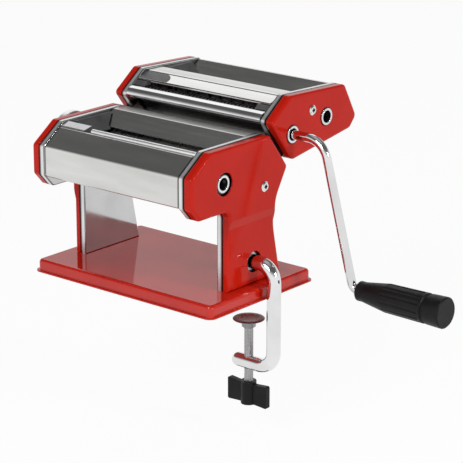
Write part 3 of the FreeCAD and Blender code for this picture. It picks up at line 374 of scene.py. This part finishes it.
# sheet bent along a line of (y, z) points, between two ends along X
def addSheet(bm, points, ends, sheet, bend):
    fresh = bmesh.new()
    verts, edges = addLine(fresh, ends[0], points)
    if len(points) > 2:
        bmesh.ops.bevel(fresh, geom=verts[1:-1], offset=bend, segments=6, profile=0.5, affect="VERTICES",
                        material=-1)
    swept = bmesh.ops.extrude_edge_only(fresh, edges=fresh.edges[:])
    moved = [item for item in swept["geom"] if isinstance(item, bmesh.types.BMVert)]
    bmesh.ops.translate(fresh, verts=moved, vec=(ends[1] - ends[0], 0, 0))
    bmesh.ops.recalc_face_normals(fresh, faces=fresh.faces)
    bmesh.ops.solidify(fresh, geom=fresh.faces[:], thickness=sheet)
    mesh = bpy.data.meshes.new("sheet")
    fresh.to_mesh(mesh)
    fresh.free()
    bm.from_mesh(mesh)
    bpy.data.meshes.remove(mesh)


# roof of the cutter head: a top sheet that laps over the front sheet, which leaves a thin dark line
roof = {"ends": (-0.0757, 0.0757), "sheet": 0.0008, "bend": 0.0012,
        "top": [(74.0, 150.8), (71.2, 164.0), (54.2, 164.0), (53.0, 162.9)],
        "front": [(56.0, 163.0), (40.8, 158.5)]}


def makeRoof():
    bm = bmesh.new()
    for points in (roof["top"], roof["front"]):
        addSheet(bm, points, roof["ends"], roof["sheet"], roof["bend"])
    piece = addPiece("roof_sheets", bm, polishedSheet, "cutter")
    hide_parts("cutter_roof")


makeRoof()
print("roof sheets made")

# dark cheek with one round corner over the left end of the front sheet
cheek = {"ends": (-0.0757, -0.0430), "low": (41.2, 159.8), "high": (52.6, 163.2),
         "round": 0.0095, "sheet": 0.0006}


def makeCheek():
    bm = bmesh.new()
    verts, edges = addLine(bm, cheek["ends"][0], [cheek["low"], cheek["high"]])
    swept = bmesh.ops.extrude_edge_only(bm, edges=edges)
    moved = [item for item in swept["geom"] if isinstance(item, bmesh.types.BMVert)]
    bmesh.ops.translate(bm, verts=moved, vec=(cheek["ends"][1] - cheek["ends"][0], 0, 0))
    corner = max(moved, key=lambda vert: vert.co.z)
    bmesh.ops.bevel(bm, geom=[corner], offset=cheek["round"], segments=8, profile=0.5, affect="VERTICES",
                    material=-1)
    bmesh.ops.solidify(bm, geom=bm.faces[:], thickness=cheek["sheet"])
    addPiece("feed_cheek", bm, darkNylon, "cutter")


makeCheek()
print("feed cheek made")

# front cover folded straight back at its lower edge, and the blade behind it
front = {"ends": (-0.0759, 0.0759), "sheet": 0.0010, "bend": 0.0022,
         "cover": [(-71.0, 93.6), (-77.9, 93.6), (-77.9, 120.0), (-57.8, 134.3), (-56.6, 131.0)],
         "blade": [(-61.0, 87.6), (-48.0, 95.0)], "bladeSheet": 0.0008}


def makeFront():
    bm = bmesh.new()
    addSheet(bm, front["cover"], front["ends"], front["sheet"], front["bend"])
    cover = addPiece("front_sheet", bm, polishedSheet, "frame")
    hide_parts("front_cover")
    bm = bmesh.new()
    addSheet(bm, front["blade"], front["ends"], front["bladeSheet"], front["bend"])
    blade = addPiece("front_blade", bm, turnedSteel, "frame")
    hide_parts("front_scraper")


makeFront()
print("front sheets made")

# clamp screw with its thread cut round it
thread = {"at": (0.0826, 0.0038), "low": -0.0903, "high": -0.0237, "outer": 0.0040, "core": 0.0034,
          "pitch": 0.00125, "steps": 18, "sides": 32, "sink": 0.0001,
          "foot": 0.42, "crest": 0.08, "begin": 0.6}  # these three are shares of the pitch


def makeThread():
    x, y = thread["at"]
    low, high = thread["low"], thread["high"]
    bm = bmesh.new()
    bmesh.ops.create_cone(bm, cap_ends=True, segments=thread["sides"],
                          radius1=thread["core"], radius2=thread["core"],
                          depth=high - low, matrix=Matrix.Translation((x, y, (low + high) / 2)))
    turns = int((high - low) / thread["pitch"]) - 1
    pitch = thread["pitch"]
    root = thread["core"] - thread["sink"]
    profile = [(root, -thread["foot"]), (thread["outer"], -thread["crest"]),
               (thread["outer"], thread["crest"]), (root, thread["foot"])]
    start = []
    for r, part in profile:
        height = low + pitch * (thread["begin"] + part)
        start += bmesh.ops.create_vert(bm, co=(x + r, y, height))["vert"]
    edges = [bm.edges.new(pair) for pair in zip(start, start[1:])]
    bmesh.ops.spin(bm, geom=start + edges, cent=(x, y, 0), axis=(0, 0, 1),
                   dvec=(0, 0, pitch / thread["steps"]), angle=2 * math.pi * turns,
                   steps=turns * thread["steps"])
    piece = addPiece("screw_thread", bm, turnedSteel, "screw")
    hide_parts("clamp_screw")


makeThread()
print("clamp thread made")

# bright rings on the three drive sockets
socketRings = {"inner": 0.0054, "outer": 0.0074, "proud": 0.0004, "round": 0.0003, "steps": 48,
               "at": {"front_roller": (0.0889, -0.0370, 0.1080), "fine_drive": (0.0910, 0.0518, 0.1326),
                      "wide_drive": (0.0910, 0.0984, 0.1392)}}


def makeSocketRings():
    for body, (x, y, z) in socketRings["at"].items():
        bm = bmesh.new()
        inner, outer = socketRings["inner"], socketRings["outer"]
        middle = Matrix.Translation((x, y + (inner + outer) / 2, z))
        bmesh.ops.create_grid(bm, x_segments=1, y_segments=1, size=0.5, matrix=middle @ Matrix.Diagonal(
            (2 * socketRings["proud"], outer - inner, 1, 1)))
        bmesh.ops.bevel(bm, geom=bm.verts[:], offset=socketRings["round"], segments=3, profile=0.5,
                        affect="VERTICES", material=-1)
        bmesh.ops.delete(bm, geom=bm.faces[:], context="FACES_ONLY")
        bmesh.ops.spin(bm, geom=bm.verts[:] + bm.edges[:], cent=(x, y, z), axis=(1, 0, 0),
                       angle=2 * math.pi, steps=socketRings["steps"], use_merge=True)
        addPiece(body + "_socket_ring", bm, brightChrome, body)


makeSocketRings()
print("socket rings made")

# rolled edge of the front lip, with a flat tab at its left end
lip = {"at": (-0.0551, 0.1342), "radius": 0.0023, "ends": (-0.0410, 0.0757), "steps": 20, "round": 0.0006,
       "tab": [(-48.6, 136.7), (-57.6, 134.8), (-58.8, 133.9)], "tabEnds": (-0.0757, -0.0480),
       "tabSheet": 0.0006, "tabBend": 0.0006}


def makeLip():
    y, z = lip["at"]
    bm = bmesh.new()
    start, end = lip["ends"]
    lying = Matrix.Translation(((start + end) / 2, y, z)) @ Matrix.Rotation(math.pi / 2, 4, "Y")
    bmesh.ops.create_cone(bm, cap_ends=True, segments=lip["steps"], radius1=lip["radius"],
                          radius2=lip["radius"], depth=end - start, matrix=lying)
    caps = [edge for edge in bm.edges if abs(edge.verts[0].co.x - edge.verts[1].co.x) < 1e-6]
    bmesh.ops.bevel(bm, geom=caps, offset=lip["round"], segments=3, profile=0.5, affect="EDGES", material=-1)
    # the lip roll takes the lighter satin steel, a painted highlight
    addPiece("lip_roll", bm, satinSteel, "frame")
    bm = bmesh.new()
    addSheet(bm, lip["tab"], lip["tabEnds"], lip["tabSheet"], lip["tabBend"])
    addPiece("lip_tab", bm, turnedSteel, "frame")


makeLip()
print("lip made")

# pale dial on the end of the gap knob, with plain numbers round a dark fluted cap
dial = {"at": (-0.0038, 0.1080), "steps": 72,
        "ring": {"face": -0.1197, "back": -0.1128, "inner": 0.0120, "outer": 0.0228, "round": 0.0008},
        "cap": {"face": -0.1240, "back": -0.1190, "inner": 0.0006, "outer": 0.0165, "round": 0.0014},
        "numbers": 10, "away": 0.0196, "size": 0.0046, "raised": 0.0002, "flutes": 18, "deep": 0.0005}


def makeDial():
    y, z = dial["at"]
    for name, finish, slot in (("ring", satinSteel, "steel"), ("cap", blackMoulding, "black_plastic")):
        look = dial[name]
        bm = bmesh.new()
        wide, thick = look["outer"] - look["inner"], look["back"] - look["face"]
        middle = Matrix.Translation(((look["back"] + look["face"]) / 2, y + look["inner"] + wide / 2, z))
        bmesh.ops.create_grid(bm, x_segments=1, y_segments=1, size=0.5,
                              matrix=middle @ Matrix.Diagonal((thick, wide, 1, 1)))
        corner = min(look["round"], look["inner"] / 2)
        bmesh.ops.bevel(bm, geom=bm.verts[:], offset=corner, segments=4, profile=0.5, affect="VERTICES",
                        material=-1)
        bmesh.ops.delete(bm, geom=bm.faces[:], context="FACES_ONLY")
        bmesh.ops.spin(bm, geom=bm.verts[:] + bm.edges[:], cent=(0, y, z), axis=(1, 0, 0),
                       angle=2 * math.pi, steps=dial["steps"], use_merge=True)
        if name == "cap":
            for vert in bm.verts:
                side = math.atan2(vert.co.z - z, vert.co.y - y)
                if math.hypot(vert.co.y - y, vert.co.z - z) > look["outer"] / 2:
                    pull = dial["deep"] * math.cos(dial["flutes"] * side)
                    flute = (0, pull * math.cos(side), pull * math.sin(side))
                    bmesh.ops.translate(bm, verts=[vert], vec=flute)
        addPiece("gap_dial_" + name, bm, finish, "knob")


def makeNumbers():
    y, z = dial["at"]
    upright = Matrix(((0, 0, -1, 0), (-1, 0, 0, 0), (0, 1, 0, 0), (0, 0, 0, 1)))
    onFace = Matrix.Translation((dial["ring"]["face"], y, z))
    outward = Matrix.Translation((0, 0, dial["away"]))
    bm = bmesh.new()
    for number in range(dial["numbers"]):
        text = bpy.data.curves.new("number", "FONT")
        text.body = str(number)
        text.size = dial["size"]
        text.extrude = dial["raised"]
        text.align_x = "CENTER"
        text.align_y = "CENTER"
        holder = bpy.data.objects.new("number", text)
        mesh = bpy.data.meshes.new_from_object(holder)
        turn = Matrix.Rotation(2 * math.pi * number / dial["numbers"], 4, "X")
        mesh.transform(onFace @ turn @ outward @ upright)
        bm.from_mesh(mesh)
        bpy.data.objects.remove(holder)
        bpy.data.curves.remove(text)
        bpy.data.meshes.remove(mesh)
    addPiece("dial_numbers", bm, blackMoulding, "knob")


makeDial()
makeNumbers()
print("gap dial made")

# thin dished pad of the clamp, spun round the screw
pad = {"at": (0.0826, 0.0038), "steps": 48, "smooth": 40,
       "profile": [(0.0, -0.0210), (0.0090, -0.0208), (0.0127, -0.0204), (0.0135, -0.0206),
                   (0.0139, -0.0210), (0.0136, -0.0215), (0.0110, -0.0223), (0.0080, -0.0233),
                   (0.0066, -0.0240), (0.0062, -0.0262), (0.0060, -0.0280), (0.0054, -0.0284),
                   (0.0, -0.0284)]}


def makePad():
    x, y = pad["at"]
    bm = bmesh.new()
    verts = [bmesh.ops.create_vert(bm, co=(x + r, y, z))["vert"][0] for r, z in pad["profile"]]
    edges = [bm.edges.new(pair) for pair in zip(verts, verts[1:])]
    bmesh.ops.spin(bm, geom=verts + edges, cent=(x, y, 0), axis=(0, 0, 1), angle=2 * math.pi,
                   steps=pad["steps"], use_merge=True)
    bmesh.ops.remove_doubles(bm, verts=bm.verts, dist=1e-6)
    piece = addPiece("pad_disc", bm, shadedRollerSteel, "pad", pad["smooth"])
    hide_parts("clamp_pad")


makePad()
print("pad made")

# dark crosses on the casing screws: thin black blocks, painted shade that stands for their recesses
recess = {"frame": [(0.0920, 0.0146, 0.0950), (-0.0920, 0.0146, 0.0950)],
          "cutter": [(0.0920, 0.0788, 0.1486), (-0.0920, 0.0788, 0.1486)],
          "long": 0.0040, "wide": 0.0011, "deep": 0.0004, "round": 0.0001}


def makeRecesses():
    for body in ("frame", "cutter"):
        bm = bmesh.new()
        for x, y, z in recess[body]:
            for sizes in ((recess["long"], recess["wide"]), (recess["wide"], recess["long"])):
                bmesh.ops.create_cube(bm, size=1, matrix=Matrix.Translation((x, y, z)) @ Matrix.Diagonal(
                    (recess["deep"], *sizes, 1)))
        bmesh.ops.bevel(bm, geom=bm.edges[:], offset=recess["round"], segments=1, profile=0.5, affect="EDGES",
                        material=-1)
        addPiece(body + "_screw_recess", bm, blackMoulding, body)


makeRecesses()
print("screw recesses made")

# studio: pale floor below the clamp's lowest place, a surround that is white low down, and two soft boxes
studio = {"floorDrop": 0.0275, "floorSize": 14.0, "floorTone": 0.94, "floorRough": 0.9, "shadowShare": 0.07,
          "sky": [(0.0, 1.0), (0.20, 1.0), (0.42, 0.50), (0.60, 0.12), (0.85, 0.12), (1.0, 0.50)],
          "panel": (-0.56, 0.54, 0.63), "panelEdge": (0.930, 0.958), "panelTone": 1.2,
          "aim": (0.03, 0.03, 0.07)}


def makeFloor():
    low = cadLow[2] - studio["floorDrop"]
    bm = bmesh.new()
    bmesh.ops.create_grid(bm, x_segments=1, y_segments=1, size=studio["floorSize"] / 2,
                          matrix=Matrix.Translation((0, 0, low)))
    mesh = bpy.data.meshes.new("floor")
    bm.to_mesh(mesh)
    bm.free()
    mat, tree, shader = newMaterial("pale_floor")
    setShader(shader, Base_Color=(*grey(studio["floorTone"]), 1), Roughness=studio["floorRough"])
    glow = addNode(tree, "ShaderNodeEmission", Strength=1.0)
    seen = addNode(tree, "ShaderNodeLightPath")
    both = addNode(tree, "ShaderNodeMath", operation="MAXIMUM")
    every = addNode(tree, "ShaderNodeMath", operation="MAXIMUM")
    share = addNode(tree, "ShaderNodeMath", operation="MULTIPLY")
    share.inputs[1].default_value = 1 - studio["shadowShare"]
    mix = addNode(tree, "ShaderNodeMixShader")
    tree.links.new(seen.outputs["Is Camera Ray"], both.inputs[0])
    tree.links.new(seen.outputs["Is Glossy Ray"], both.inputs[1])
    tree.links.new(both.outputs[0], every.inputs[0])
    tree.links.new(seen.outputs["Is Transmission Ray"], every.inputs[1])
    tree.links.new(every.outputs[0], share.inputs[0])
    tree.links.new(share.outputs[0], mix.inputs["Fac"])
    tree.links.new(shader.outputs[0], mix.inputs[1])
    tree.links.new(glow.outputs[0], mix.inputs[2])
    tree.links.new(mix.outputs[0], tree.nodes["Material Output"].inputs["Surface"])
    floor = bpy.data.objects.new("floor", mesh)
    floor.data.materials.append(mat)
    scene.collection.objects.link(floor)


def makeSurround():
    world = bpy.data.worlds.new("studio")
    scene.world = world
    world.use_nodes = True
    tree = world.node_tree
    back = tree.nodes["Background"]
    coord = addNode(tree, "ShaderNodeTexCoord")
    split = addNode(tree, "ShaderNodeSeparateXYZ")
    tree.links.new(coord.outputs["Generated"], split.inputs["Vector"])
    sky = ramp(tree, split.outputs["Z"], [(at, grey(tone)) for at, tone in studio["sky"]])
    facing = addNode(tree, "ShaderNodeVectorMath", operation="DOT_PRODUCT")
    facing.inputs[1].default_value = studio["panel"]
    tree.links.new(coord.outputs["Generated"], facing.inputs[0])
    low, high = studio["panelEdge"]
    panel = ramp(tree, facing.outputs["Value"], [(low, grey(0.0)), (high, grey(1.0))])
    mix = addNode(tree, "ShaderNodeMix", data_type="RGBA")
    tree.links.new(panel, mix.inputs[0])
    tree.links.new(sky, mix.inputs[6])
    mix.inputs[7].default_value = (*grey(studio["panelTone"]), 1)
    tree.links.new(mix.outputs[2], back.inputs["Color"])


softBoxes = [
    {"name": "key_box", "at": (0.3, -1.7, 1.3), "size": (0.9, 0.7), "power": 20},
    {"name": "side_box", "at": (1.9, 0.2, 0.9), "size": (0.34, 0.42), "power": 15},
]


def makeLights():
    aim = Vector(studio["aim"])
    for box in softBoxes:
        lamp = bpy.data.lights.new(box["name"], "AREA")
        lamp.shape = "RECTANGLE"
        lamp.size, lamp.size_y = box["size"]
        lamp.energy = box["power"]
        obj = bpy.data.objects.new(box["name"], lamp)
        obj.location = box["at"]
        obj.rotation_euler = (aim - Vector(box["at"])).to_track_quat("-Z", "Y").to_euler()
        scene.collection.objects.link(obj)


# camera of the photograph, worked out from the object's known corners
view = {"at": (1.13402, -1.27090, 0.57392), "right": (0.76571, 0.64319, 0.0),
        "up": (-0.19222, 0.22884, 0.95430), "back": (0.61379, -0.73071, 0.29886),
        "lens": 159.9, "sensor": 36, "clip": 0.05}


def makeCamera():
    cam = bpy.data.cameras.new("camera")
    cam.lens = view["lens"]
    cam.sensor_width = view["sensor"]
    cam.sensor_fit = "HORIZONTAL"
    cam.clip_start = view["clip"]
    obj = bpy.data.objects.new("camera", cam)
    turn = Matrix((view["right"], view["up"], view["back"])).transposed()
    obj.matrix_world = Matrix.Translation(view["at"]) @ turn.to_4x4()
    scene.collection.objects.link(obj)
    scene.camera = obj


makeFloor()
makeSurround()
makeLights()
makeCamera()
print("studio set")
